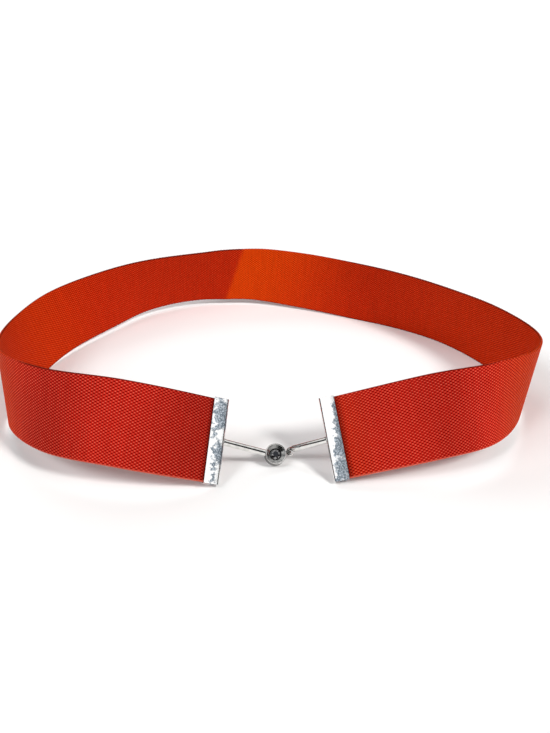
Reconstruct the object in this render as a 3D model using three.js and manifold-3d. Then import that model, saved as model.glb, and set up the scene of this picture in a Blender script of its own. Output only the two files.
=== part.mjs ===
// A canvas waist belt: one woven strap bent in a loop, standing on its edge,
// closed at the front by a bar clasp with a round stone setting.
// Millimetres, +Z up. The origin is under the middle of the belt, on the surface it stands on.
import * as THREE from 'three';
import { mergeVertices } from 'three/addons/utils/BufferGeometryUtils.js';
import { ConvexGeometry } from 'three/addons/geometries/ConvexGeometry.js';
import Module from 'manifold-3d';

// Strap
const strapWidth = 40;
const strapThickness = 1.3;
const strapStepsPerRow = 6;
const strapStrips = 4;
const strapTuck = 6.2;

// The strap's middle line from the left clamp round the back to the right clamp.
// height is the middle line's height; lean tips the strap's top edge outward, in degrees.
const strapRows = [
  { x: -27, y: -105, height: 18.5, lean: -40 },
  { x: -67, y: -109, height: 29.5, lean: -30 },
  { x: -102, y: -101, height: 31.5, lean: -16 },
  { x: -129, y: -75, height: 28, lean: -4 },
  { x: -141, y: -39, height: 22, lean: 5 },
  { x: -141, y: 0, height: 19.7, lean: 13 },
  { x: -131, y: 35, height: 21, lean: 15 },
  { x: -109, y: 68, height: 22.5, lean: 5 },
  { x: -84, y: 95, height: 23.5, lean: -10 },
  { x: -51, y: 113, height: 23.5, lean: -14 },
  { x: -15, y: 119, height: 23.5, lean: -3 },
  { x: 22, y: 111, height: 21.5, lean: 8 },
  { x: 57, y: 94, height: 20.1, lean: 7 },
  { x: 88, y: 72, height: 20.1, lean: -1 },
  { x: 114, y: 45, height: 20.1, lean: -5 },
  { x: 135, y: 10, height: 20.1, lean: 1 },
  { x: 144, y: -28, height: 20.6, lean: 8 },
  { x: 133, y: -63, height: 25, lean: 4 },
  { x: 108, y: -90, height: 29, lean: -15 },
  { x: 77, y: -100, height: 27.5, lean: -34 },
  { x: 35.5, y: -101, height: 17.5, lean: -43 },
];

// A soft fold line across the strap at the back: row is where it crosses the middle line.
const crease = { row: 9.7, slantRows: 0.37, reachRows: 0.45, depth: 1.2 };

// Folded sheet clamps on the strap's ends
const clamp = { length: 40.8, width: 7.6, sheet: 0.7, foldRadius: 1.2, foldSteps: 5 };
const fitGap = 0.3;

// Bar clasp
const barRadius = 1.6;
const barSides = 16;
const barRoot = 0.4;

// The left bar points at the cup's axis this far behind the cup's middle, so that its top stays under the rim.
const leftBarDrop = 1.2;

// Round setting on the left bar. centre is the middle of the cup, facing is its axis.
// Inside, a cone runs from the rounded lip down to the stone's seat, and a second one to the small flat floor.
const cup = {
  centre: new THREE.Vector3(4.1, -97.6, 5.4),
  facing: new THREE.Vector3(0.21, -0.65, 0.73).normalize(),
  radius: 5.2,
  height: 4.2,
  wall: 0.75,
  lipSteps: 4,
  seatRadius: 2.95,
  seatHeight: 0.5,
  floorRadius: 0.9,
  floor: 0.8,
  sides: 40,
};

// Eye on the cup's right side: a wire ring on edge, reach from the cup's middle to the ring's
const eye = { reach: 6.35, radius: 1.45, wireRadius: 0.35, steps: 24, sides: 8 };

// Hook at the right bar's end: the bar thins to a wire that goes down through the eye and back under the bar.
// lead and taper run from the eye's wire to the full bar, whose middle is rise above that wire.
const hook = {
  wireRadius: 0.8,
  bendRadius: 1.45,
  bendDegrees: 190,
  bendSteps: 12,
  lead: 0.3,
  taper: 1.8,
  rise: 0.9,
  tail: 1,
  tipRadius: 0.5,
};

// Cut stone: an eight-sided table, eight facets round it, a thin girdle and a point below.
// Heights count from the middle of the cup.
const stone = {
  tableRadius: 1.45,
  tableHeight: 1.35,
  facetRadius: 2.2,
  facetHeight: 0.97,
  girdleRadius: 2.65,
  girdleTop: 0.58,
  girdleBottom: 0.5,
  pointHeight: -0.8,
};

// Points nearer than this are one point.
const weldDistance = 1e-5;

const up = new THREE.Vector3(0, 0, 1);
const wasm = await Module();
wasm.setup();

const fabric = new THREE.MeshStandardMaterial({ color: 0xc0301c, roughness: 0.85, metalness: 0 });
const silver = new THREE.MeshStandardMaterial({ color: 0xd2d4d8, roughness: 0.25, metalness: 1 });
const smokyGlass = new THREE.MeshStandardMaterial({ color: 0x2a2a2c, roughness: 0.08, metalness: 0 });

// Smooth curve through the strap's rows, with its slope. The ends carry on as parabolas.
function rowAt(position) {
  const last = strapRows.length - 1;
  const cell = Math.min(Math.max(Math.floor(position), 0), last - 1);
  const f = position - cell;
  const value = {};
  const slope = {};
  for (const key of ['x', 'y', 'height', 'lean']) {
    const at = (i) => strapRows[i][key];
    const before = cell > 0 ? at(cell - 1) : 3 * at(0) - 3 * at(1) + at(2);
    const a = at(cell);
    const b = at(cell + 1);
    const after = cell + 2 <= last ? at(cell + 2) : 3 * at(last) - 3 * at(last - 1) + at(last - 2);
    const square = 2 * before - 5 * a + 4 * b - after;
    const cube = -before + 3 * a - 3 * b + after;
    value[key] = a + 0.5 * f * (b - before + f * (square + f * cube));
    slope[key] = 0.5 * (b - before + f * (2 * square + 3 * f * cube));
  }
  return { value, slope };
}

// The strap's own frame at a row position: along it, across it (upward) and out of its outer face.
function strapFrame(position) {
  const { value, slope } = rowAt(position);
  const origin = new THREE.Vector3(value.x, value.y, value.height);
  const along = new THREE.Vector3(slope.x, slope.y, slope.height).normalize();
  const upright = up.clone().addScaledVector(along, -along.z).normalize();
  const level = upright.clone().cross(along);
  const lean = THREE.MathUtils.degToRad(value.lean);
  const across = upright.multiplyScalar(Math.cos(lean)).addScaledVector(level, Math.sin(lean));
  const face = across.clone().cross(along);
  return { origin, along, across, face };
}

// The frame of an end of the strap, with out pointing away from the strap.
function endFrame(position) {
  const frame = strapFrame(position);
  const out = frame.along.clone().multiplyScalar(position === 0 ? -1 : 1);
  return { ...frame, out };
}

function pointIn(frame, axis, distance) {
  return frame.origin.clone().addScaledVector(frame[axis], distance);
}

// A closed body through rings of equal point count, with fans over both ends.
// A ring list that closes on itself has no ends.
function loft(rings, closes = false) {
  const count = rings[0].length;
  const points = rings.flat();
  const faces = [];
  const spans = closes ? rings.length : rings.length - 1;
  for (let i = 0; i < spans; i += 1) {
    const next = (i + 1) % rings.length;
    for (let j = 0; j < count; j += 1) {
      const k = (j + 1) % count;
      const a = i * count + j;
      const b = i * count + k;
      const c = next * count + k;
      const d = next * count + j;
      faces.push([a, b, c], [a, c, d]);
    }
  }
  if (!closes) {
    for (const end of [0, rings.length - 1]) {
      const middle = new THREE.Vector3();
      rings[end].forEach((point) => middle.addScaledVector(point, 1 / count));
      const hub = points.push(middle) - 1;
      for (let j = 0; j < count; j += 1) {
        const a = end * count + j;
        const b = end * count + ((j + 1) % count);
        faces.push(end === 0 ? [hub, b, a] : [hub, a, b]);
      }
    }
  }
  const geometry = new THREE.BufferGeometry();
  geometry.setAttribute('position', new THREE.Float32BufferAttribute(points.flatMap((p) => p.toArray()), 3));
  geometry.setIndex(faces.flat());
  return outward(geometry);
}

// Turns every face round if the body's faces point inward.
function outward(geometry) {
  const position = geometry.getAttribute('position');
  const index = geometry.getIndex();
  const [a, b, c] = [new THREE.Vector3(), new THREE.Vector3(), new THREE.Vector3()];
  let volume = 0;
  for (let i = 0; i < index.count; i += 3) {
    a.fromBufferAttribute(position, index.getX(i));
    b.fromBufferAttribute(position, index.getX(i + 1));
    c.fromBufferAttribute(position, index.getX(i + 2));
    volume += a.dot(b.cross(c));
  }
  if (volume < 0) {
    for (let i = 0; i < index.count; i += 3) {
      const second = index.getX(i + 1);
      index.setX(i + 1, index.getX(i + 2));
      index.setX(i + 2, second);
    }
  }
  return geometry;
}

// A round wire through points, with a radius at each.
function wire(points, radii, sides, closes = false) {
  const rings = [];
  let side = null;
  points.forEach((point, i) => {
    const last = points.length - 1;
    const before = points[i > 0 ? i - 1 : closes ? last : 0];
    const after = points[i < last ? i + 1 : closes ? 0 : last];
    const along = after.clone().sub(before).normalize();
    side = side ?? (Math.abs(along.z) < 0.9 ? up : new THREE.Vector3(1, 0, 0));
    side = side.clone().addScaledVector(along, -side.dot(along)).normalize();
    const other = along.clone().cross(side);
    const ring = [];
    for (let k = 0; k < sides; k += 1) {
      const angle = (2 * Math.PI * k) / sides;
      const offset = side.clone().multiplyScalar(Math.cos(angle)).addScaledVector(other, Math.sin(angle));
      ring.push(point.clone().addScaledVector(offset, radii[i]));
    }
    rings.push(ring);
  });
  return loft(rings, closes);
}

function toSolid(geometry) {
  const bare = geometry.clone();
  bare.deleteAttribute('normal');
  bare.deleteAttribute('uv');
  const merged = mergeVertices(bare, weldDistance);
  return new wasm.Manifold(new wasm.Mesh({
    numProp: 3,
    vertProperties: Float32Array.from(merged.getAttribute('position').array),
    triVerts: Uint32Array.from(merged.getIndex().array),
  }));
}

function toGeometry(solid) {
  const mesh = solid.getMesh();
  const geometry = new THREE.BufferGeometry();
  geometry.setAttribute('position', new THREE.BufferAttribute(mesh.vertProperties, 3));
  geometry.setIndex(new THREE.BufferAttribute(mesh.triVerts, 1));
  geometry.computeVertexNormals();
  return geometry;
}

// How far the crease pushes the strap inward at a row position and a place across it.
function creaseDepth(position, across) {
  const line = crease.row + crease.slantRows * (across / strapWidth);
  const away = Math.abs(position - line) / crease.reachRows;
  return crease.depth * Math.max(0, 1 - away);
}

// Outline of the strap's section at one place along it.
function strapRing(frame, shift) {
  const ring = [];
  for (const side of [1, -1]) {
    for (let j = 0; j <= strapStrips; j += 1) {
      const across = side * strapWidth * (j / strapStrips - 0.5);
      const out = (side * strapThickness) / 2 - shift(across);
      ring.push(pointIn(frame, 'across', across).addScaledVector(frame.face, out));
    }
  }
  return ring;
}

function strapGeometry() {
  const last = strapRows.length - 1;
  const rings = [];
  const flat = () => 0;
  for (const end of [0, last]) {
    const frame = endFrame(end);
    const tip = { ...frame, origin: pointIn(frame, 'out', strapTuck) };
    rings.push(strapRing(tip, flat));
  }
  const tail = rings.pop();
  const steps = last * strapStepsPerRow;
  for (let i = 0; i <= steps; i += 1) {
    const position = i / strapStepsPerRow;
    rings.push(strapRing(strapFrame(position), (across) => creaseDepth(position, across)));
  }
  rings.push(tail);
  return loft(rings);
}

// Section of a clamp: a strip folded round the strap's end, open towards the strap.
function clampSection() {
  const inner = strapThickness / 2 + fitGap;
  const outer = inner + clamp.sheet;
  const fold = Math.min(clamp.foldRadius, outer);
  const section = new THREE.Shape();
  section.moveTo(0, inner);
  section.lineTo(0, outer);
  section.lineTo(clamp.width - fold, outer);
  section.absarc(clamp.width - fold, outer - fold, fold, Math.PI / 2, 0, true);
  section.lineTo(clamp.width, fold - outer);
  section.absarc(clamp.width - fold, fold - outer, fold, 0, -Math.PI / 2, true);
  section.lineTo(0, -outer);
  section.lineTo(0, -inner);
  section.lineTo(clamp.width - clamp.sheet, -inner);
  section.lineTo(clamp.width - clamp.sheet, inner);
  section.closePath();
  return section;
}

function clampSolid(frame) {
  const geometry = new THREE.ExtrudeGeometry(clampSection(), {
    depth: clamp.length,
    bevelEnabled: false,
    curveSegments: clamp.foldSteps,
  });
  geometry.translate(0, 0, -clamp.length / 2);
  const along = frame.out.clone();
  const across = along.clone().cross(frame.face);
  geometry.applyMatrix4(new THREE.Matrix4().makeBasis(along, frame.face, across).setPosition(frame.origin));
  return toSolid(geometry);
}

// A point on the middle of a clamp's fold, just inside its sheet, where the bar is soldered.
function barStart(frame) {
  return pointIn(frame, 'out', clamp.width - barRoot);
}

// The eye's middle, with out level in the cup's plane and lift the way up in it.
function eyeFrame() {
  const out = up.clone().cross(cup.facing).normalize();
  const lift = cup.facing.clone().cross(out);
  const origin = cup.centre.clone().addScaledVector(out, eye.reach);
  return { origin, out, lift };
}

function cupSolid() {
  const half = cup.height / 2;
  const floor = cup.floor - half;
  const lip = cup.wall / 2;
  const profile = [
    new THREE.Vector2(0, -half),
    new THREE.Vector2(cup.radius - cup.wall, -half),
    new THREE.Vector2(cup.radius, -half + cup.wall),
  ];
  for (let i = 0; i <= cup.lipSteps; i += 1) {
    const angle = (Math.PI * i) / cup.lipSteps;
    profile.push(new THREE.Vector2(cup.radius - lip + lip * Math.cos(angle), half - lip + lip * Math.sin(angle)));
  }
  profile.push(
    new THREE.Vector2(cup.seatRadius, cup.seatHeight + fitGap),
    new THREE.Vector2(cup.seatRadius, cup.seatHeight - fitGap),
    new THREE.Vector2(cup.floorRadius, floor),
    new THREE.Vector2(0, floor),
  );
  const geometry = new THREE.LatheGeometry(profile, cup.sides);
  geometry.rotateX(Math.PI / 2);
  const turn = new THREE.Quaternion().setFromUnitVectors(up, cup.facing);
  geometry.applyQuaternion(turn);
  geometry.translate(...cup.centre.toArray());
  return toSolid(geometry);
}

function eyeSolid(frame) {
  const points = [];
  for (let i = 0; i < eye.steps; i += 1) {
    const angle = (2 * Math.PI * i) / eye.steps;
    points.push(frame.origin.clone()
      .addScaledVector(frame.out, eye.radius * Math.cos(angle))
      .addScaledVector(cup.facing, eye.radius * Math.sin(angle)));
  }
  return toSolid(wire(points, points.map(() => eye.wireRadius), eye.sides, true));
}

function leftClasp(frame, eyeAt) {
  const start = barStart(frame);
  const towards = cup.centre.clone().addScaledVector(cup.facing, -leftBarDrop).sub(start);
  const end = start.clone().add(towards.setLength(towards.length() - cup.radius + cup.wall / 2));
  const bar = toSolid(wire([start, end], [barRadius, barRadius], barSides));
  return toGeometry(clampSolid(frame).add(bar).add(cupSolid()).add(eyeSolid(eyeAt)));
}

// The right bar pulls on the eye's wire at the ring's point nearest to it, caught, and bends round that point.
function rightClasp(frame, eyeAt) {
  const start = barStart(frame);
  const pull = start.clone().sub(eyeAt.origin);
  pull.addScaledVector(eyeAt.lift, -pull.dot(eyeAt.lift)).normalize();
  const caught = eyeAt.origin.clone().addScaledVector(pull, eye.radius);
  const along = start.clone().sub(caught).normalize();
  const lift = eyeAt.lift.clone().addScaledVector(along, -along.dot(eyeAt.lift)).normalize();
  const bend = (angle) => caught.clone()
    .addScaledVector(lift, hook.bendRadius * Math.cos(angle))
    .addScaledVector(along, -hook.bendRadius * Math.sin(angle));
  const taperEnd = bend(0).addScaledVector(along, hook.lead);
  const taperStart = caught.clone().addScaledVector(along, hook.lead + hook.taper).addScaledVector(lift, hook.rise);
  const points = [start, taperStart, taperEnd];
  const radii = [barRadius, barRadius, hook.wireRadius];
  for (let i = 0; i <= hook.bendSteps; i += 1) {
    points.push(bend(THREE.MathUtils.degToRad((hook.bendDegrees * i) / hook.bendSteps)));
    radii.push(hook.wireRadius);
  }
  const last = points[points.length - 1];
  const before = points[points.length - 2];
  points.push(last.clone().addScaledVector(last.clone().sub(before).normalize(), hook.tail));
  radii.push(hook.tipRadius);
  return toGeometry(clampSolid(frame).add(toSolid(wire(points, radii, barSides))));
}

function stoneGeometry() {
  const points = [new THREE.Vector3(0, 0, stone.pointHeight)];
  const ring = (radius, height, count, turn) => {
    for (let i = 0; i < count; i += 1) {
      const angle = (2 * Math.PI * (i + turn)) / count;
      points.push(new THREE.Vector3(radius * Math.cos(angle), radius * Math.sin(angle), height));
    }
  };
  ring(stone.tableRadius, stone.tableHeight, 8, 0);
  ring(stone.facetRadius, stone.facetHeight, 8, 0.5);
  ring(stone.girdleRadius, stone.girdleTop, 16, 0);
  ring(stone.girdleRadius, stone.girdleBottom, 16, 0);
  const geometry = mergeVertices(new ConvexGeometry(points), weldDistance);
  geometry.applyQuaternion(new THREE.Quaternion().setFromUnitVectors(up, cup.facing));
  geometry.translate(...cup.centre.toArray());
  return geometry;
}

function addPiece(group, name, geometry, material) {
  const mesh = new THREE.Mesh(geometry, material);
  mesh.name = name;
  group.add(mesh);
}

const leftEnd = endFrame(0);
const rightEnd = endFrame(strapRows.length - 1);
const eyeAt = eyeFrame();

const belt = new THREE.Group();
addPiece(belt, 'strap', strapGeometry(), fabric);
addPiece(belt, 'left_clasp', leftClasp(leftEnd, eyeAt), silver);
addPiece(belt, 'right_clasp', rightClasp(rightEnd, eyeAt), silver);
addPiece(belt, 'stone', stoneGeometry(), smokyGlass);

export default belt;
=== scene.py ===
# A canvas waist belt on a pale floor: woven strap, folded end clamps, bar clasp, stone setting.
# Lengths are in metres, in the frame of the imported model.
import math

import bmesh
import bpy
import numpy as np
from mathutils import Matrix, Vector


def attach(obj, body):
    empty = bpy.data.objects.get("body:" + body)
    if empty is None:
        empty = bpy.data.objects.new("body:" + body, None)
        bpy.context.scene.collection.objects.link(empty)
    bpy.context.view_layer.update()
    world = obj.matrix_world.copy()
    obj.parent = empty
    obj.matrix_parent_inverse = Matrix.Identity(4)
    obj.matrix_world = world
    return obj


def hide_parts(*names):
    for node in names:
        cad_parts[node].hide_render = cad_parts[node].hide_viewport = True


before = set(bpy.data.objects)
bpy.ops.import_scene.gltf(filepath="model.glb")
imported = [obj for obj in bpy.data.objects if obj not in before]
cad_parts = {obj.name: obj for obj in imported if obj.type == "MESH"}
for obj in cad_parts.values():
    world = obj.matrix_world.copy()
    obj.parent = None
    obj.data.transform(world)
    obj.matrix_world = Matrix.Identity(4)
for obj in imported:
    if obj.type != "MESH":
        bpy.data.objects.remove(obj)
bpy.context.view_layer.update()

MM = 0.001
UP = np.array([0.0, 0.0, 1.0])
RANDOM_SEED = 11

# Strap
STRAP_WIDTH = 40 * MM
STRAP_THICKNESS = 1.3 * MM
STRAP_TUCK = 6.2 * MM
STRAP_PIECES = 4
LENGTH_SAMPLES = 4001

# The strap's middle line from the left clamp round the back to the right clamp, in millimetres:
# x, y, height of the middle line, and lean of the strap's top edge outward in degrees.
STRAP_ROWS = (
    (-27, -105, 18.5, -40),
    (-67, -109, 29.5, -30),
    (-102, -101, 31.5, -16),
    (-129, -75, 28, -4),
    (-141, -39, 22, 5),
    (-141, 0, 19.7, 13),
    (-131, 35, 21, 15),
    (-109, 68, 22.5, 5),
    (-84, 95, 23.5, -10),
    (-51, 113, 23.5, -14),
    (-15, 119, 23.5, -3),
    (22, 111, 21.5, 8),
    (57, 94, 20.1, 7),
    (88, 72, 20.1, -1),
    (114, 45, 20.1, -5),
    (135, 10, 20.1, 1),
    (144, -28, 20.6, 8),
    (133, -63, 25, 4),
    (108, -90, 29, -15),
    (77, -100, 27.5, -34),
    (35.5, -101, 17.5, -43),
)
CREASE = {"row": 9.7, "slant_rows": 0.37, "reach_rows": 0.45, "depth": 1.2 * MM}

# Plain weave: pitch of the crosswise and the lengthwise threads, and the relief of crowns and pits
WEFT_PITCH = 1.11 * MM
WARP_PITCH = 0.735 * MM
WARP_THREADS = 54
SAMPLES_PER_THREAD = 2
CROWN_RELIEF = 0.06 * MM
PIT_RELIEF = 0.2 * MM
UNEVEN_RELIEF = (0.6, 1.3)

# The inner face counts its threads from here on, so that the material can tell the two faces apart
INNER_COUNT = 101

# Painted light and shade, in soft bands along the cloth: middle and reach in rows of the strap, the face
# (1 outer, -1 inner), and how much lighter and how much more orange the band is than the rest. Lighter is
# painted light (painted shade below 0), and orange is a painted glow
PAINTED_LIGHT_BANDS = (
    # The narrow dark bands at rows 0 and 20 are painted shadow where the cloth meets the clamps
    (0.0, 0.05, 1, -0.3, 0.0),
    (0.0, 0.9, 1, -0.3, 0.0),
    (1.9, 0.7, 1, -0.14, 0.0),
    (2.7, 0.9, 1, 0.18, 0.0),
    (3.4, 1.3, 1, 0.08, 0.7),
    (17.0, 1.3, 1, 0.06, 0.75),
    (17.8, 0.8, 1, 0.14, 0.0),
    (18.8, 0.6, 1, -0.18, 0.0),
    (20.0, 0.4, 1, -0.04, 0.25),
    (20.0, 0.07, 1, -0.5, 0.0),
    (5.4, 1.6, -1, 0.12, 0.3),
    (14.6, 2.6, -1, 0.08, 0.12),
)
# Painted light and painted orange glow on the inner face just past the crease, fading over some rows
PAINTED_CREASE_GLOW = {"light": 0.4, "painted_glow": 0.95, "edge_rows": 0.12, "fade_rows": 2.7}

# Folded sheet clamps
CLAMP_LENGTH = 40.8 * MM
CLAMP_WIDTH = 7.6 * MM
CLAMP_SHEET = 0.7 * MM
CLAMP_FOLD = 1.2 * MM
CLAMP_CAMBER = 0.1 * MM
CLAMP_EDGE = 0.12 * MM
CLAMP_STEPS = 60
CAMBER_STEPS = 8
FOLD_STEPS = 8
FIT_GAP = 0.3 * MM

# Bar clasp
BAR_RADIUS = 1.6 * MM
BAR_ROOT = 0.4 * MM
SOLDER_FLARE = 0.9 * MM
SOLDER_SPREAD = 1.15
BAR_SIDES = 40
NEARLY_UPRIGHT = 0.9
LEFT_BAR_DROP = 1.2 * MM
CUP_CENTRE = np.array([4.1, -97.6, 5.4]) * MM
CUP_FACING = np.array([0.21, -0.65, 0.73]) / np.linalg.norm([0.21, -0.65, 0.73])
CUP_RADIUS = 5.2 * MM
CUP_HEIGHT = 4.2 * MM
CUP_WALL = 0.75 * MM
CUP_LIP_STEPS = 12
CUP_SIDES = 96
SEAT_RADIUS = 2.95 * MM
SEAT_HEIGHT = 0.5 * MM
CUP_FLOOR_RADIUS = 0.9 * MM
CUP_FLOOR = 0.8 * MM
EYE_REACH = 6.35 * MM
EYE_RADIUS = 1.45 * MM
EYE_WIRE = 0.35 * MM
EYE_STEPS = 48
EYE_SIDES = 16
HOOK_WIRE = 0.8 * MM
HOOK_BEND = 1.45 * MM
HOOK_DEGREES = 190
HOOK_STEPS = 30
HOOK_LEAD = 0.3 * MM
HOOK_TAPER = 1.8 * MM
HOOK_RISE = 0.9 * MM
HOOK_TAIL = 1.0 * MM
HOOK_TIP = 0.5 * MM

# Cut stone, in rings: radius, height from the middle of the cup, points, and part of a step turned
STONE_POINT = -0.8 * MM
STONE_RINGS = (
    (1.45 * MM, 1.35 * MM, 8, 0),
    (2.2 * MM, 0.97 * MM, 8, 0.5),
    (2.65 * MM, 0.58 * MM, 16, 0),
    (2.65 * MM, 0.5 * MM, 16, 0),
)

# Edges: from how many degrees they stay sharp or are bevelled, and up to how many two faces count as one
CLAMP_SHARP = 30
CUP_SHARP = 35
WIRE_SHARP = 50
BEVEL_DEGREES = 40
BEVEL_SEGMENTS = 2
FLAT_DEGREES = 2

# For the materials and the room, a span is where a value starts and ends, and then the low and the high
# result where these are not 0 and 1. A noise is its scale and detail, a bump its strength and depth.

# Cloth: the crossing threads make a wave from -1 in the pits to 1 on the crowns. The pits take painted
# shade and the crowns painted highlights. Pairs of colours are for the outer and the inner face, which
# are one cloth; their colours differ as painted light
PIT_SHADE_SPAN = (-0.2, -0.75)
PIT_SHADE_COLOURS = ((0.12, 0.0003, 0.0002, 1), (0.22, 0.003, 0.0003, 1))
CROWN_HIGHLIGHT_SPAN = (0.3, 0.9)
CROWN_HIGHLIGHT_COLOURS = ((0.68, 0.12, 0.078, 1), (0.74, 0.075, 0.022, 1))
# Painted orange glow: the crown colour and the tint where the cloth glows orange
PAINTED_GLOW_CROWN = (0.56, 0.08, 0.006, 1)
PAINTED_GLOW_TINT = (1.03, 2.3, 0.4, 1)
WHITE = (1, 1, 1, 1)
OUTER_BASE_FROM = (0.43, 0.0115, 0.0055, 1)
OUTER_BASE_TO = (0.48, 0.0135, 0.0065, 1)
INNER_BASE = (0.45, 0.0155, 0.0008, 1)
BROAD_NOISE = (28.0, 3.0)
BROAD_SPAN = (0.3, 0.7)
FLECK_NOISE = (1500.0, 2.0)
FLECK_SPAN = (0.3, 0.6, 0.35, 1.0)
SLUB_STRETCH = (0.9, 0.03, 1.0)
SLUB_NOISE = (1.0, 3.0)
SLUB_SPAN = (0.25, 0.75, 0.93, 1.07)
WAVE_HEIGHT = 0.5
FLECK_HEIGHT = 0.4
WEAVE_BUMP = (0.35, 0.12 * MM)
CLOTH_SHADER = {
    "Roughness": 0.6,
    "Specular IOR Level": 0.03,
    "Sheen Weight": 0.12,
    "Sheen Roughness": 0.4,
    "Sheen Tint": (1.0, 0.22, 0.01, 1),
}

# The strap's edges: how many threads in from the edge the tint starts and is full, and how orange the
# cloth is where the top edge's tint starts and is full. The top edge's dark tint is a painted dark
# outline of shade, which fades where the cloth has its painted orange glow
TOP_EDGE_THREADS = (0.8, 0.2)
TOP_EDGE_PAINTED_SHADE = (0.07, 0.006, 0.0035, 1)
TOP_EDGE_PAINTED_GLOW_SPAN = (0.3, 0.02, 0.1, 0.8)
LOWER_EDGE_THREADS = (0.9, 0.1)
LOWER_EDGE_COLOURS = ((0.62, 0.13, 0.085, 1), (0.12, 0.006, 0.003, 1))
LOWER_EDGE_STRENGTH = 0.8

# Plating of the clamps, with mottled blue-grey patches in a stripe. The patches are painted reflection
# of the dark room, where dented plating would miss the lights, and they are rougher too
PLATE_COLOUR = (0.94, 0.94, 0.935, 1)
PAINTED_REFLECTION_DARK = (0.21, 0.255, 0.3, 1)
PAINTED_REFLECTION_LIGHT = (0.66, 0.73, 0.8, 1)
PATCH_NOISE = (150.0, 4.0)
PATCH_SOFTNESS = 0.08
RAGGED_NOISE = (520.0, 3.0)
RAGGED_STRIPE_SPAN = (0.3, 0.7, -0.8, 0.8)
RAGGED_PATCH_SPAN = (0.3, 0.7, -0.05, 0.05)
STRIPE_SPAN = (0.0, 0.8)
GRAIN_NOISE = (1500.0, 2.0)
GRAIN_SPAN = (0.42, 0.62)
GRAIN_HEIGHT = 0.15
PATCH_ROUGHNESS_SPAN = (0.0, 1.0, 0.16, 0.3)
PLATE_BUMP = (0.6, 0.05 * MM)

# Each clamp: the stripe's start, its growth outward and its growth upward, and the level of its patches
LEFT_PLATE = ((-1.1, 2.8, 1.5), 0.45)
RIGHT_PLATE = ((4.9, -5.4, -4.2), 0.36)

# Round metal: bright colour, dull colour and roughness. The satin and the shaded ones are this silver
# made darker, as painted shade on the cup's inner wall, its outer side and the eye
POLISHED_BARS = ((0.8, 0.79, 0.77, 1), (0.66, 0.65, 0.63, 1), 0.08)
SATIN_SHADED_CUP_WALL = ((0.42, 0.42, 0.41, 1), (0.24, 0.24, 0.235, 1), 0.2)
SHADED_CUP_SIDE = ((0.2, 0.2, 0.195, 1), (0.12, 0.12, 0.115, 1), 0.2)
DULL_NOISE = (400.0, 3.0)
DULL_SPAN = (0.4, 0.65)
SILVER_BUMP = (1.0, 0.04 * MM)

# Stone
STONE_COLOURS = ((0.004, 0.004, 0.005, 1), (0.014, 0.013, 0.014, 1))
STONE_NOISE = (600.0, 2.0)
STONE_SHADER = {"Roughness": 0.03, "IOR": 3.0}

# Floor
FLOOR_REACH = 30.0
FLOOR_SHADER = {"Base Color": (0.93, 0.93, 0.925, 1), "Roughness": 0.8, "Specular IOR Level": 0.0}

# Camera: place, pitch below the horizon, and focal length in pixels of a 733-pixel-high picture
CAMERA_PLACE = (4 * MM, -400.4 * MM, 198.3 * MM)
CAMERA_PITCH = math.radians(25.71)
CAMERA_CLIP = (0.01, 20.0)
FOCAL_PIXELS = 740
PICTURE_HEIGHT = 733
SENSOR = 36.0

# Lights: direction to them, strength, apparent width in degrees, and colour
SOFTBOXES = (
    ((0.60, -0.46, 0.66), 2.15, 14, (1.0, 0.99, 0.97)),
    ((-0.50, -0.50, 0.71), 1.0, 18, (0.98, 0.99, 1.0)),
)
FILLS = {
    "right_fill": ((0.66, -0.24, 0.71), 0.35, 25, (1, 1, 1)),
    "left_fill": ((-0.75, -0.27, 0.60), 0.6, 25, (1, 1, 1)),
    "back_fill": ((-0.35, 0.61, 0.71), 0.65, 25, (1, 1, 1)),
}

# Room: its even light, the backdrop that the camera sees, and what the metal mirrors. A direction's depth
# goes from -1 in front to 1 behind, and its height from 0 at the horizon to 1 overhead.
ROOM_LIGHT = (0.12, 0.12, 0.122, 1)
BACKDROP = (1.2, 1.2, 1.2, 1)
MIRRORED_BACK = (0.95, 0.95, 0.94, 1)
MIRRORED_HORIZON = (0.08, 0.08, 0.08, 1)
MIRRORED_FRONT = (0.11, 0.12, 0.14, 1)
MIRRORED_LOW_FRONT = (0.02, 0.02, 0.02, 1)
MIRRORED_CEILING = (0.9, 0.9, 0.9, 1)
MIRRORED_SOFTBOX = (1.2, 1.2, 1.2, 1)
FRONT_DEPTH_SPAN = (0.1, -0.3)
LOW_HEIGHT_SPAN = (0.6, 0.45)
HORIZON_HEIGHT_SPAN = (0.5, 0.33)
CEILING_HEIGHT_SPAN = (0.84, 0.95)
SOFTBOX_SPAN = (0.96, 0.985)

# Sockets of a mix node that are for colours: factor, first and second, and the result
MIX_INPUTS = (0, 6, 7)
MIX_OUTPUT = 2


def unit(vector):
    return vector / np.linalg.norm(vector)


def row_values(positions):
    """Smooth curve through the strap's rows at positions counted in rows, with its slope."""
    rows = np.array(STRAP_ROWS, float)
    first = 3 * rows[0] - 3 * rows[1] + rows[2]
    last = 3 * rows[-1] - 3 * rows[-2] + rows[-3]
    padded = np.vstack([first, rows, last])
    cell = np.clip(np.floor(positions).astype(int), 0, len(rows) - 2)
    within = (positions - cell)[:, None]
    before, start, end, after = (padded[cell + k] for k in range(4))
    square = 2 * before - 5 * start + 4 * end - after
    cube = -before + 3 * start - 3 * end + after
    value = start + 0.5 * within * (end - before + within * (square + within * cube))
    slope = 0.5 * (end - before + within * (2 * square + 3 * within * cube))
    return value, slope


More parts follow.
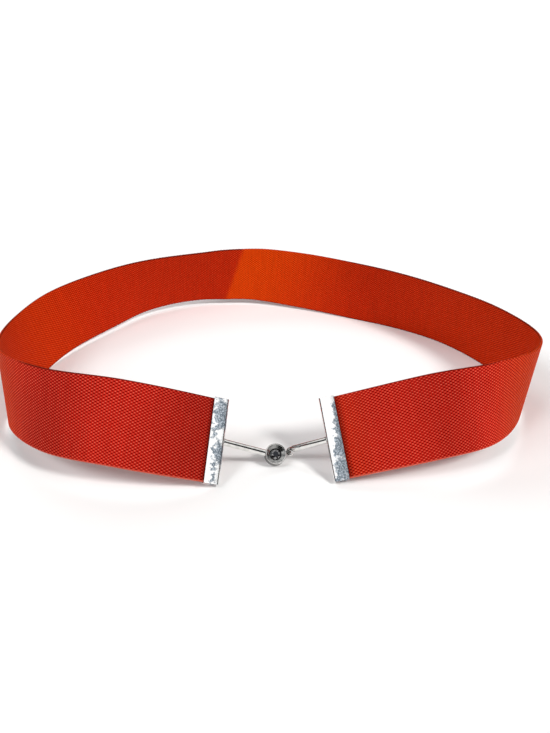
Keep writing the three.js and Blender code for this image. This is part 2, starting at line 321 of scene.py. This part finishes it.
def strap_frames(positions):
    """Origin, along, across (upward) and face (outward) of the strap at row positions."""
    value, slope = row_values(np.asarray(positions, float))
    origin = value[:, :3] * MM
    along = slope[:, :3] / np.linalg.norm(slope[:, :3], axis=1, keepdims=True)
    upright = UP - along * along[:, 2:3]
    upright /= np.linalg.norm(upright, axis=1, keepdims=True)
    level = np.cross(upright, along)
    lean = np.radians(value[:, 3:4])
    across = upright * np.cos(lean) + level * np.sin(lean)
    return origin, along, across, np.cross(across, along)


def end_frame(last):
    """The frame of one end of the strap, with out pointing away from the strap."""
    position = len(STRAP_ROWS) - 1 if last else 0
    origin, along, across, face = (part[0] for part in strap_frames([position]))
    out = along if last else -along
    return {"origin": origin, "out": out, "across": across, "face": face}


def in_frame(at, out=0.0, across=0.0, face=0.0):
    return at["origin"] + at["out"] * out + at["across"] * across + at["face"] * face


def new_object(name, vertices, faces, rounded=True):
    mesh = bpy.data.meshes.new(name)
    mesh.from_pydata([tuple(vertex) for vertex in vertices], [], [tuple(face) for face in faces])
    mesh.validate()
    edit = bmesh.new()
    edit.from_mesh(mesh)
    bmesh.ops.recalc_face_normals(edit, faces=edit.faces)
    edit.to_mesh(mesh)
    edit.free()
    mesh.polygons.foreach_set("use_smooth", [rounded] * len(mesh.polygons))
    item = bpy.data.objects.new(name, mesh)
    bpy.context.scene.collection.objects.link(item)
    return item


def loft(rings, closes=False):
    """Vertices and faces of a body through rings of equal point count."""
    count = len(rings[0])
    vertices = np.concatenate(rings)
    faces = []
    spans = len(rings) if closes else len(rings) - 1
    for i in range(spans):
        after = (i + 1) % len(rings)
        for j in range(count):
            k = (j + 1) % count
            faces.append((i * count + j, i * count + k, after * count + k, after * count + j))
    if not closes:
        faces.append(tuple(range(count)))
        faces.append(tuple(range((len(rings) - 1) * count, len(rings) * count)))
    return vertices, faces


def wire(points, radii, sides, closes=False):
    """A round wire through points, with a radius at each."""
    points = [np.asarray(point, float) for point in points]
    side = None
    rings = []
    for i, point in enumerate(points):
        before = points[i - 1] if i > 0 or closes else points[0]
        after = points[(i + 1) % len(points)] if i + 1 < len(points) or closes else points[-1]
        along = unit(after - before)
        if side is None:
            side = UP if abs(along[2]) < NEARLY_UPRIGHT else np.array([1.0, 0.0, 0.0])
        side = unit(side - along * side.dot(along))
        other = np.cross(along, side)
        turns = np.linspace(0, 2 * math.pi, sides, endpoint=False)
        ring = point + radii[i] * (np.outer(np.cos(turns), side) + np.outer(np.sin(turns), other))
        rings.append(ring)
    return loft(rings, closes)


def sharp_by_angle(item, degrees):
    item.data.set_sharp_from_angle(angle=math.radians(degrees))


def add_bevel(item, width):
    bevel = item.modifiers.new("edge", "BEVEL")
    bevel.width = width
    bevel.segments = BEVEL_SEGMENTS
    bevel.limit_method = "ANGLE"
    bevel.angle_limit = math.radians(BEVEL_DEGREES)
    bevel.harden_normals = False


def finish_piece(item, node, material):
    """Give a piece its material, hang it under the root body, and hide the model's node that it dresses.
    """
    item.data.materials.append(material)
    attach(item, "root")
    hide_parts(node)


# Materials
class Graph:
    """The nodes of one material or of the room, made and linked by short calls."""

    def __init__(self, tree):
        self.nodes = tree.nodes
        self.links = tree.links

    def feed(self, socket, value):
        """Set a socket to a number or colour, or link it to the output of another node."""
        if isinstance(value, (int, float, tuple)):
            socket.default_value = value
        else:
            self.links.new(value, socket)

    def calculate(self, operation, *values):
        node = self.nodes.new("ShaderNodeMath")
        node.operation = operation
        for socket, value in zip(node.inputs, values):
            self.feed(socket, value)
        return node.outputs[0]

    def add(self, first, second):
        return self.calculate("ADD", first, second)

    def multiply(self, first, second):
        return self.calculate("MULTIPLY", first, second)

    def smooth_range(self, value, start, end, low=0.0, high=1.0):
        """Smooth step from low to high as the value goes from start to end."""
        node = self.nodes.new("ShaderNodeMapRange")
        node.interpolation_type = "SMOOTHSTEP"
        self.links.new(value, node.inputs["Value"])
        node.inputs["From Min"].default_value = start
        node.inputs["From Max"].default_value = end
        node.inputs["To Min"].default_value = low
        node.inputs["To Max"].default_value = high
        return node.outputs["Result"]

    def mix(self, factor, first, second, blend="MIX"):
        node = self.nodes.new("ShaderNodeMix")
        node.data_type = "RGBA"
        node.blend_type = blend
        for index, value in zip(MIX_INPUTS, (factor, first, second)):
            self.feed(node.inputs[index], value)
        return node.outputs[MIX_OUTPUT]

    def noise(self, place, scale, detail):
        node = self.nodes.new("ShaderNodeTexNoise")
        node.inputs["Scale"].default_value = scale
        node.inputs["Detail"].default_value = detail
        self.links.new(place, node.inputs["Vector"])
        return node.outputs["Fac"]

    def coordinates(self, kind):
        return self.nodes.new("ShaderNodeTexCoord").outputs[kind]

    def split(self, vector):
        """The x, y and z of a vector."""
        node = self.nodes.new("ShaderNodeSeparateXYZ")
        self.links.new(vector, node.inputs[0])
        return list(node.outputs)

    def uv_map(self, name):
        """A UV map, and its two parts."""
        node = self.nodes.new("ShaderNodeUVMap")
        node.uv_map = name
        across, up, _ = self.split(node.outputs["UV"])
        return node.outputs["UV"], across, up

    def stretch(self, vector, scales):
        node = self.nodes.new("ShaderNodeMapping")
        node.inputs["Scale"].default_value = scales
        self.links.new(vector, node.inputs["Vector"])
        return node.outputs["Vector"]

    def grey(self, value):
        """A grey as light as the value."""
        node = self.nodes.new("ShaderNodeCombineXYZ")
        for socket in node.inputs:
            self.links.new(value, socket)
        return node.outputs[0]

    def facing(self, direction, towards):
        """How much a direction points towards another, from -1 to 1."""
        node = self.nodes.new("ShaderNodeVectorMath")
        node.operation = "DOT_PRODUCT"
        self.links.new(direction, node.inputs[0])
        node.inputs[1].default_value = towards
        return node.outputs["Value"]

    def bump(self, surface, height, strength, distance):
        node = self.nodes.new("ShaderNodeBump")
        node.inputs["Strength"].default_value = strength
        node.inputs["Distance"].default_value = distance
        self.links.new(height, node.inputs["Height"])
        self.links.new(node.outputs["Normal"], surface.inputs["Normal"])


def new_material(name):
    """A material, its nodes and its shader."""
    material = bpy.data.materials.new(name)
    material.use_nodes = True
    return material, Graph(material.node_tree), material.node_tree.nodes["Principled BSDF"]


def set_shader(surface, values):
    for name, value in values.items():
        surface.inputs[name].default_value = value


def webbing_material():
    """Plain weave: painted pit shade and crown highlights follow the UV map's threads, for each face
    apart.
    """
    material, graph, surface = new_material("red_webbing")
    threads, weft, warp = graph.uv_map("threads")
    # This UV map holds the cloth's painted light and shade, and its painted orange glow
    _, light, painted_glow = graph.uv_map("tone")
    place = graph.coordinates("Object")
    waves = [graph.calculate("COSINE", graph.multiply(count, math.pi)) for count in (weft, warp)]
    over = graph.multiply(*waves)
    pit_shade = graph.smooth_range(over, *PIT_SHADE_SPAN)
    crown_highlight = graph.smooth_range(over, *CROWN_HIGHLIGHT_SPAN)
    inner = graph.calculate("GREATER_THAN", warp, INNER_COUNT / 2)
    broad = graph.noise(place, *BROAD_NOISE)
    flecks = graph.noise(place, *FLECK_NOISE)
    slubs = graph.noise(graph.stretch(threads, SLUB_STRETCH), *SLUB_NOISE)

    outer_base = graph.mix(graph.smooth_range(broad, *BROAD_SPAN), OUTER_BASE_FROM, OUTER_BASE_TO)
    base = graph.mix(inner, outer_base, INNER_BASE)
    # Painted shade in the pits
    woven = graph.mix(pit_shade, base, graph.mix(inner, *PIT_SHADE_COLOURS))
    # Where the cloth has its painted orange glow, the colour is tinted orange and the crowns turn orange
    tint = graph.mix(painted_glow, WHITE, PAINTED_GLOW_TINT)
    tinted = graph.mix(1.0, woven, tint, "MULTIPLY")
    crown_highlight_colour = graph.mix(painted_glow, graph.mix(inner, *CROWN_HIGHLIGHT_COLOURS), PAINTED_GLOW_CROWN)
    # Painted highlights on the crowns, brighter where the flecks are
    glint = graph.multiply(crown_highlight, graph.smooth_range(flecks, *FLECK_SPAN))
    lit = graph.mix(glint, tinted, crown_highlight_colour)
    # The painted light and shade of the bands scale the colour here, with the random slubs
    shade = graph.multiply(light, graph.smooth_range(slubs, *SLUB_SPAN))
    with_painted_light = graph.mix(1.0, lit, graph.grey(shade), "MULTIPLY")

    count = graph.calculate("SUBTRACT", warp, graph.multiply(inner, INNER_COUNT))
    edge = WARP_THREADS / 2
    # Painted shade: a dark line along the top edge, weaker where the cloth glows orange
    top = graph.smooth_range(count, *(edge - part for part in TOP_EDGE_THREADS))
    top = graph.multiply(top, graph.smooth_range(painted_glow, *TOP_EDGE_PAINTED_GLOW_SPAN))
    lower = graph.smooth_range(count, *(part - edge for part in LOWER_EDGE_THREADS))
    lower = graph.multiply(lower, LOWER_EDGE_STRENGTH)
    edged = graph.mix(top, with_painted_light, TOP_EDGE_PAINTED_SHADE)
    edged = graph.mix(lower, edged, graph.mix(inner, *LOWER_EDGE_COLOURS))
    graph.links.new(edged, surface.inputs["Base Color"])
    set_shader(surface, CLOTH_SHADER)
    height = graph.add(graph.multiply(over, WAVE_HEIGHT), graph.multiply(flecks, FLECK_HEIGHT))
    graph.bump(surface, height, *WEAVE_BUMP)
    return material


def plate_material(name, reflection_and_roughness_stripe, patch_level):
    """Bright plating with blue-grey mottled patches of painted reflection in a stripe. The sheet's UV map
    is out and up.
    """
    material, graph, surface = new_material(name)
    _, out, up = graph.uv_map("sheet")
    place = graph.coordinates("Object")
    patches = graph.noise(place, *PATCH_NOISE)
    ragged = graph.noise(place, *RAGGED_NOISE)
    grain = graph.noise(place, *GRAIN_NOISE)

    start, by_out, by_up = reflection_and_roughness_stripe
    stripe = graph.add(start, graph.add(graph.multiply(out, by_out), graph.multiply(up, by_up)))
    stripe = graph.add(stripe, graph.smooth_range(ragged, *RAGGED_STRIPE_SPAN))
    patch = graph.add(patches, graph.smooth_range(ragged, *RAGGED_PATCH_SPAN))
    patch = graph.smooth_range(patch, patch_level - PATCH_SOFTNESS, patch_level + PATCH_SOFTNESS)
    # The patches are painted reflection in the base colour, and rougher
    reflection_and_roughness_patch = graph.multiply(graph.smooth_range(stripe, *STRIPE_SPAN), patch)
    painted_reflection = graph.mix(graph.smooth_range(grain, *GRAIN_SPAN), PAINTED_REFLECTION_DARK, PAINTED_REFLECTION_LIGHT)
    graph.links.new(graph.mix(reflection_and_roughness_patch, PLATE_COLOUR, painted_reflection), surface.inputs["Base Color"])
    surface.inputs["Metallic"].default_value = 1.0
    graph.links.new(graph.smooth_range(reflection_and_roughness_patch, *PATCH_ROUGHNESS_SPAN), surface.inputs["Roughness"])
    graph.bump(surface, graph.add(ragged, graph.multiply(grain, GRAIN_HEIGHT)), *PLATE_BUMP)
    return material


def silver_material(name, bright, dull, roughness):
    """Round metal, slightly uneven."""
    material, graph, surface = new_material(name)
    uneven = graph.noise(graph.coordinates("Object"), *DULL_NOISE)
    tint = graph.mix(graph.smooth_range(uneven, *DULL_SPAN), bright, dull)
    graph.links.new(tint, surface.inputs["Base Color"])
    surface.inputs["Metallic"].default_value = 1.0
    surface.inputs["Roughness"].default_value = roughness
    graph.bump(surface, uneven, *SILVER_BUMP)
    return material


def stone_material():
    material, graph, surface = new_material("dark_stone")
    veil = graph.noise(graph.coordinates("Object"), *STONE_NOISE)
    graph.links.new(graph.mix(veil, *STONE_COLOURS), surface.inputs["Base Color"])
    set_shader(surface, STONE_SHADER)
    return material


# Strap
def crease_line(across):
    """Row position of the slanted crease at places across the strap."""
    return CREASE["row"] + CREASE["slant_rows"] * across / STRAP_WIDTH


def crease_depth(positions, across):
    """How far the crease pushes the strap inward."""
    away = np.abs(positions - crease_line(across)) / CREASE["reach_rows"]
    return CREASE["depth"] * np.maximum(0, 1 - away)


def strap_stations():
    """Row positions along the strap at even distances, one for each weave sample."""
    dense = np.linspace(0, len(STRAP_ROWS) - 1, LENGTH_SAMPLES)
    origin = strap_frames(dense)[0]
    length = np.concatenate([[0], np.cumsum(np.linalg.norm(np.diff(origin, axis=0), axis=1))])
    step = WEFT_PITCH / SAMPLES_PER_THREAD
    count = int(length[-1] / step)
    count -= count % STRAP_PIECES
    distance = np.linspace(0, length[-1], count + 1)
    return np.interp(distance, length, dense)


def strap_section(samples):
    """Place across, thread count and side, up the outer face and then down the inner one."""
    threads = (np.arange(samples + 1) / SAMPLES_PER_THREAD) - WARP_THREADS / 2
    across = threads * WARP_PITCH
    outer = [(place, count, 1.0) for place, count in zip(across, threads)]
    inner = [(place, count, -1.0) for place, count in zip(across[::-1], threads[::-1])]
    edge = STRAP_WIDTH / 2
    top = [(edge, WARP_THREADS / 2 + 0.5, 0.0)]
    bottom = [(-edge, -WARP_THREADS / 2 - 0.5, 0.0)]
    return np.array(outer + top + inner + bottom)


def smooth_step(value):
    """Smooth step from 0 to 1 as the value goes from 0 to 1."""
    part = np.clip(value, 0, 1)
    return part * part * (3 - 2 * part)


def painted_cloth_tones(positions, across, side):
    """Painted light and orange glow of the cloth at row positions, places across and faces of the strap.
    """
    light = np.ones(np.broadcast(positions, across, side).shape)
    painted_glow = np.zeros_like(light)
    for row, reach, face, painted_lighter, painted_glow_gain in PAINTED_LIGHT_BANDS:
        away = np.clip(np.abs(positions - row) / reach, 0, 1)
        band = (1 - away ** 2) ** 2 * ((side < 0) == (face < 0))
        light += painted_lighter * band
        painted_glow += painted_glow_gain * band
    # Painted light and orange glow past the crease, on the inner face only
    past = positions - crease_line(across)
    glow = smooth_step(past / PAINTED_CREASE_GLOW["edge_rows"] + 0.5)
    glow *= 1 - smooth_step(past / PAINTED_CREASE_GLOW["fade_rows"])
    glow *= side < 0
    return light + PAINTED_CREASE_GLOW["light"] * glow, np.minimum(painted_glow + PAINTED_CREASE_GLOW["painted_glow"] * glow, 1)


def strap_grid():
    """Points, thread counts and painted light tones of the strap: a ring for each station and each tucked
    end.
    """
    positions = strap_stations()
    origin, _, across, face = strap_frames(positions)
    section = strap_section(WARP_THREADS * SAMPLES_PER_THREAD)
    width, threads, side = section.T
    weft = np.arange(len(positions)) / SAMPLES_PER_THREAD
    over = np.cos(math.pi * weft)[:, None] * np.cos(math.pi * threads)[None, :] * side
    random = np.random.default_rng(RANDOM_SEED)
    uneven = random.uniform(*UNEVEN_RELIEF, over.shape)
    relief = np.where(over > 0, CROWN_RELIEF, PIT_RELIEF) * over * uneven
    depth = crease_depth(positions[:, None], width[None, :])
    out = side * STRAP_THICKNESS / 2 + side * relief - depth
    points = origin[:, None] + across[:, None] * width[None, :, None] + face[:, None] * out[..., None]
    inner = np.where(side < 0, INNER_COUNT, 0)
    counts = np.stack(np.broadcast_arrays(weft[:, None], (threads + inner)[None, :]), axis=-1)
    painted_tones = np.stack(painted_cloth_tones(positions[:, None], width[None, :], side[None, :]), axis=-1)
    for last in (False, True):
        at = -1 if last else 0
        tip = points[at] + end_frame(last)["out"] * STRAP_TUCK
        count = counts[at] + [(1 if last else -1) * STRAP_TUCK / WEFT_PITCH, 0]
        points = np.insert(points, len(points) if last else 0, tip, axis=0)
        painted_tones = np.insert(painted_tones, len(painted_tones) if last else 0, painted_tones[at], axis=0)
        counts = np.insert(counts, len(counts) if last else 0, count, axis=0)
    return points, {"threads": counts, "tone": painted_tones}


def strap_piece(name, points, layers):
    """One length of the strap as a closed body, with its thread counts and painted light tones as UV
    maps.
    """
    rings, around = points.shape[:2]
    index = np.arange(rings * around).reshape(rings, around)
    following = np.roll(index, -1, axis=1)
    sides = np.stack([index[:-1], following[:-1], following[1:], index[1:]], axis=-1).reshape(-1, 4)
    half = around // 2
    low = np.arange(half - 1)
    caps = []
    for ring, flips in ((index[0], True), (index[-1], False)):
        high = around - 1 - low
        cap = np.stack([ring[low], ring[low + 1], ring[high - 1], ring[high]], axis=-1)
        caps.append(cap[:, ::-1] if flips else cap)
    quads = np.concatenate([sides, *caps])
    mesh = bpy.data.meshes.new(name)
    mesh.vertices.add(rings * around)
    mesh.vertices.foreach_set("co", points.reshape(-1).astype(np.float32))
    mesh.loops.add(quads.size)
    mesh.loops.foreach_set("vertex_index", quads.reshape(-1).astype(np.int32))
    mesh.polygons.add(len(quads))
    mesh.polygons.foreach_set("loop_start", np.arange(0, quads.size, 4, dtype=np.int32))
    mesh.update(calc_edges=True)
    mesh.polygons.foreach_set("use_smooth", np.ones(len(quads), bool))
    edges = np.zeros(len(mesh.edges) * 2, np.int32)
    mesh.edges.foreach_get("vertices", edges)
    edges = edges.reshape(-1, 2)
    rim = np.all(edges < around, axis=1) | np.all(edges >= index[-1, 0], axis=1)
    mesh.attributes.new("sharp_edge", "BOOLEAN", "EDGE").data.foreach_set("value", rim)
    for key, values in layers.items():
        uv = values.reshape(-1, 2)[quads]
        across_edge = np.ptp(uv[..., 1], axis=1, keepdims=True) > INNER_COUNT / 2
        uv[..., 1] += INNER_COUNT * (across_edge & (uv[..., 1] < INNER_COUNT / 2))
        mesh.uv_layers.new(name=key).data.foreach_set("uv", uv.reshape(-1).astype(np.float32))
    item = bpy.data.objects.new(name, mesh)
    bpy.context.scene.collection.objects.link(item)
    return item


def build_strap(material):
    points, layers = strap_grid()
    rings = len(points)
    cuts = np.linspace(0, rings - 1, STRAP_PIECES + 1).astype(int)
    cuts[1:-1] -= cuts[1:-1] % SAMPLES_PER_THREAD
    for i in range(STRAP_PIECES):
        part = slice(cuts[i], cuts[i + 1] + 1)
        part_layers = {key: values[part] for key, values in layers.items()}
        item = strap_piece(f"woven_strap_{i + 1}", points[part], part_layers)
        finish_piece(item, "strap", material)


# Clamps
def clamp_section():
    """Outline of the folded and cambered sheet in the out and face directions, open to the strap."""
    inner = STRAP_THICKNESS / 2 + FIT_GAP
    outer = inner + CLAMP_SHEET
    centre = CLAMP_WIDTH - CLAMP_FOLD
    faces = []
    for k in range(CAMBER_STEPS):
        camber = CLAMP_CAMBER * (1 - (2 * k / CAMBER_STEPS - 1) ** 2)
        faces.append((centre * k / CAMBER_STEPS, outer + camber))
    outline = [(0, inner), *faces]
    for start, height in ((90, outer - CLAMP_FOLD), (0, CLAMP_FOLD - outer)):
        for k in range(FOLD_STEPS + 1):
            angle = math.radians(start - 90 * k / FOLD_STEPS)
            outline.append((centre + CLAMP_FOLD * math.cos(angle), height + CLAMP_FOLD * math.sin(angle)))
    outline += [(out, -face) for out, face in reversed(faces)]
    outline += [(0, -inner), (CLAMP_WIDTH - CLAMP_SHEET, -inner), (CLAMP_WIDTH - CLAMP_SHEET, inner)]
    return outline


def build_clamp(name, node, at, material):
    outline = clamp_section()
    rings = []
    for i in range(CLAMP_STEPS + 1):
        across = CLAMP_LENGTH * (i / CLAMP_STEPS - 0.5)
        rings.append(np.array([in_frame(at, out, across, face) for out, face in outline]))
    item = new_object(name, *loft(rings))
    sheet = item.data.uv_layers.new(name="sheet")
    for loop, corner in zip(item.data.loops, sheet.data):
        place = np.array(item.data.vertices[loop.vertex_index].co) - at["origin"]
        corner.uv = (place.dot(at["out"]) / CLAMP_WIDTH, place.dot(at["across"]) / CLAMP_LENGTH + 0.5)
    sharp_by_angle(item, CLAMP_SHARP)
    add_bevel(item, CLAMP_EDGE)
    finish_piece(item, node, material)


# Bars, cup, eye, hook and stone
def bar_start(at):
    return in_frame(at, out=CLAMP_WIDTH - BAR_ROOT)


def build_wire(name, node, points, radii, sides, material, closes=False):
    item = new_object(name, *wire(points, radii, sides, closes))
    sharp_by_angle(item, WIRE_SHARP)
    finish_piece(item, node, material)


def build_left_bar(at, material):
    start = bar_start(at)
    towards = CUP_CENTRE - CUP_FACING * LEFT_BAR_DROP - start
    length = np.linalg.norm(towards) - CUP_RADIUS + CUP_WALL / 2
    along = unit(towards)
    places = [0, BAR_ROOT, BAR_ROOT + SOLDER_FLARE, length]
    radii = [BAR_RADIUS * SOLDER_SPREAD, BAR_RADIUS * SOLDER_SPREAD, BAR_RADIUS, BAR_RADIUS]
    points = [start + along * place for place in places]
    build_wire("left_bar", "left_clasp", points, radii, BAR_SIDES, material)


def turned(points):
    """Points about the cup's axis, with +Z along its facing, moved to the cup."""
    turn = Vector(UP).rotation_difference(Vector(CUP_FACING)).to_matrix()
    return np.array([np.array(turn @ Vector(point)) for point in points]) + CUP_CENTRE


def build_cup(rim_material, wall_material, side_material):
    """The cup, turned round its axis, with a round lip and a seat for the stone."""
    half = CUP_HEIGHT / 2
    floor = CUP_FLOOR - half
    lip = CUP_WALL / 2
    profile = [
        (0, -half),
        (CUP_RADIUS - CUP_WALL, -half),
        (CUP_RADIUS, -half + CUP_WALL),
    ]
    for k in range(CUP_LIP_STEPS + 1):
        angle = math.pi * k / CUP_LIP_STEPS
        profile.append((CUP_RADIUS - lip + lip * math.cos(angle), half - lip + lip * math.sin(angle)))
    profile += [
        (SEAT_RADIUS, SEAT_HEIGHT + FIT_GAP),
        (SEAT_RADIUS, SEAT_HEIGHT - FIT_GAP),
        (CUP_FLOOR_RADIUS, floor),
        (0, floor),
    ]
    rings = []
    for k in range(CUP_SIDES):
        angle = 2 * math.pi * k / CUP_SIDES
        cosine, sine = math.cos(angle), math.sin(angle)
        rings.append([(radius * cosine, radius * sine, height) for radius, height in profile[1:-1]])
    count = len(profile) - 2
    vertices = [point for ring in rings for point in ring] + [(0, 0, -half), (0, 0, floor)]
    low, high = len(vertices) - 2, len(vertices) - 1
    faces = []
    for k in range(CUP_SIDES):
        here = k * count
        there = (k + 1) % CUP_SIDES * count
        for j in range(count - 1):
            faces.append((here + j, there + j, there + j + 1, here + j + 1))
        faces.append((low, there, here))
        faces.append((high, here + count - 1, there + count - 1))
    item = new_object("stone_cup", turned(vertices), faces)
    sharp_by_angle(item, CUP_SHARP)
    item.data.materials.append(rim_material)
    item.data.materials.append(wall_material)
    finish_piece(item, "left_clasp", side_material)
    # The lip keeps material 0, the inner wall takes 1 and the outer side 2, both darker as painted shade
    for face in item.data.polygons:
        middle = np.array(face.center) - CUP_CENTRE
        up = middle.dot(CUP_FACING)
        aside = np.linalg.norm(middle - CUP_FACING * up)
        if aside < CUP_RADIUS - CUP_WALL and up > floor - CUP_FLOOR / 2:
            face.material_index = 1
        elif up < half - lip:
            face.material_index = 2


def eye_frame():
    """The eye's middle, with out level in the cup's plane and lift the way up in it."""
    out = unit(np.cross(UP, CUP_FACING))
    return {"origin": CUP_CENTRE + out * EYE_REACH, "out": out, "lift": np.cross(CUP_FACING, out)}


def build_eye(eye, material):
    """A wire ring on edge, soldered to the cup's side."""
    points = []
    for i in range(EYE_STEPS):
        angle = 2 * math.pi * i / EYE_STEPS
        offset = eye["out"] * math.cos(angle) + CUP_FACING * math.sin(angle)
        points.append(eye["origin"] + offset * EYE_RADIUS)
    radii = [EYE_WIRE] * EYE_STEPS
    build_wire("wire_eye", "left_clasp", points, radii, EYE_SIDES, material, closes=True)


def build_right_bar(at, eye, material):
    """The right bar, thinned to a wire that goes down through the eye and back under the bar."""
    start = bar_start(at)
    pull = start - eye["origin"]
    pull = unit(pull - eye["lift"] * pull.dot(eye["lift"]))
    caught = eye["origin"] + pull * EYE_RADIUS
    along = unit(start - caught)
    lift = unit(eye["lift"] - along * along.dot(eye["lift"]))

    def bend(degrees):
        turn = math.radians(degrees)
        return caught + lift * HOOK_BEND * math.cos(turn) - along * HOOK_BEND * math.sin(turn)

    thin = bend(0) + along * HOOK_LEAD
    thick = caught + along * (HOOK_LEAD + HOOK_TAPER) + lift * HOOK_RISE
    flare = start + unit(thick - start) * (BAR_ROOT + SOLDER_FLARE)
    points = [start, flare, thick, thick * 0.5 + thin * 0.5, thin]
    radii = [BAR_RADIUS * SOLDER_SPREAD, BAR_RADIUS, BAR_RADIUS, (BAR_RADIUS + HOOK_WIRE) / 2, HOOK_WIRE]
    for i in range(HOOK_STEPS + 1):
        points.append(bend(HOOK_DEGREES * i / HOOK_STEPS))
        radii.append(HOOK_WIRE)
    points.append(points[-1] + unit(points[-1] - points[-2]) * HOOK_TAIL)
    radii.append(HOOK_TIP)
    build_wire("right_bar", "right_clasp", points, radii, BAR_SIDES, material)


def build_stone(material):
    """The smallest body with flat sides round the stone's rings of points."""
    points = [(0, 0, STONE_POINT)]
    for radius, height, count, turn in STONE_RINGS:
        for i in range(count):
            angle = 2 * math.pi * (i + turn) / count
            points.append((radius * math.cos(angle), radius * math.sin(angle), height))
    mesh = bpy.data.meshes.new("cut_stone")
    edit = bmesh.new()
    for point in turned(points):
        edit.verts.new(point)
    bmesh.ops.convex_hull(edit, input=edit.verts)
    flat = math.radians(FLAT_DEGREES)
    bmesh.ops.dissolve_limit(edit, angle_limit=flat, verts=edit.verts, edges=edit.edges)
    bmesh.ops.recalc_face_normals(edit, faces=edit.faces)
    edit.to_mesh(mesh)
    edit.free()
    item = bpy.data.objects.new("cut_stone", mesh)
    bpy.context.scene.collection.objects.link(item)
    finish_piece(item, "stone", material)


# Stage
def build_camera():
    camera = bpy.data.cameras.new("camera")
    camera.lens = FOCAL_PIXELS * SENSOR / PICTURE_HEIGHT
    camera.sensor_width = SENSOR
    camera.sensor_fit = "AUTO"
    camera.clip_start, camera.clip_end = CAMERA_CLIP
    item = bpy.data.objects.new("camera", camera)
    item.location = CAMERA_PLACE
    item.rotation_euler = (math.pi / 2 - CAMERA_PITCH, 0, 0)
    bpy.context.scene.collection.objects.link(item)
    bpy.context.scene.camera = item


def build_floor():
    material, _, surface = new_material("white_floor")
    set_shader(surface, FLOOR_SHADER)
    reach = FLOOR_REACH
    corners = [(-reach, -reach, 0), (reach, -reach, 0), (reach, reach, 0), (-reach, reach, 0)]
    item = new_object("floor", corners, [(0, 1, 2, 3)], rounded=False)
    item.data.materials.append(material)


def build_light(name, towards, strength, degrees, colour):
    """A soft far light, which the metal does not mirror."""
    light = bpy.data.lights.new(name, "SUN")
    light.energy = strength
    light.angle = math.radians(degrees)
    light.color = colour
    item = bpy.data.objects.new(name, light)
    item.rotation_euler = Vector(towards).to_track_quat("Z", "Y").to_euler()
    item.visible_glossy = False
    bpy.context.scene.collection.objects.link(item)


def build_lights():
    for i, values in enumerate(SOFTBOXES):
        build_light(f"softbox_{i + 1}", *values)
    for name, values in FILLS.items():
        build_light(name, *values)


def build_room():
    """A white room. The metal mirrors it darker in front and near the horizon, with the softboxes."""
    world = bpy.data.worlds.new("studio")
    bpy.context.scene.world = world
    world.use_nodes = True
    graph = Graph(world.node_tree)
    direction = graph.coordinates("Generated")
    _, depth, height = graph.split(direction)
    front = graph.smooth_range(depth, *FRONT_DEPTH_SPAN)
    low_front = graph.multiply(front, graph.smooth_range(height, *LOW_HEIGHT_SPAN))
    horizon = graph.smooth_range(height, *HORIZON_HEIGHT_SPAN)
    ceiling = graph.smooth_range(height, *CEILING_HEIGHT_SPAN)
    mirrored = graph.mix(horizon, MIRRORED_BACK, MIRRORED_HORIZON)
    mirrored = graph.mix(front, mirrored, MIRRORED_FRONT)
    mirrored = graph.mix(low_front, mirrored, MIRRORED_LOW_FRONT)
    mirrored = graph.mix(ceiling, mirrored, MIRRORED_CEILING)
    for towards, _, _, _ in SOFTBOXES:
        spot = graph.smooth_range(graph.facing(direction, unit(np.array(towards))), *SOFTBOX_SPAN)
        mirrored = graph.mix(spot, mirrored, MIRRORED_SOFTBOX)
    rays = graph.nodes.new("ShaderNodeLightPath")
    room = graph.mix(rays.outputs["Is Glossy Ray"], ROOM_LIGHT, mirrored)
    seen = graph.mix(rays.outputs["Is Camera Ray"], room, BACKDROP)
    graph.links.new(seen, graph.nodes["Background"].inputs["Color"])


build_camera()
build_floor()
build_room()
build_lights()
bpy.context.scene.view_settings.view_transform = "Standard"

webbing = webbing_material()
left_plate = plate_material("left_plating", *LEFT_PLATE)
right_plate = plate_material("right_plating", *RIGHT_PLATE)
polished = silver_material("polished_bars", *POLISHED_BARS)
satin_and_shaded = silver_material("satin_shaded_cup_wall", *SATIN_SHADED_CUP_WALL)
shaded = silver_material("shaded_cup_side", *SHADED_CUP_SIDE)
left_end = end_frame(last=False)
right_end = end_frame(last=True)
eye_at = eye_frame()

build_strap(webbing)
build_clamp("left_clamp", "left_clasp", left_end, left_plate)
build_clamp("right_clamp", "right_clasp", right_end, right_plate)
build_left_bar(left_end, polished)
# The cup's inner wall and outer side take darker copies of the silver as painted shade
build_cup(polished, satin_and_shaded, shaded)
# The eye takes the darker, shaded copy of the silver as painted shade
build_eye(eye_at, shaded)
build_right_bar(right_end, eye_at, polished)
build_stone(stone_material())
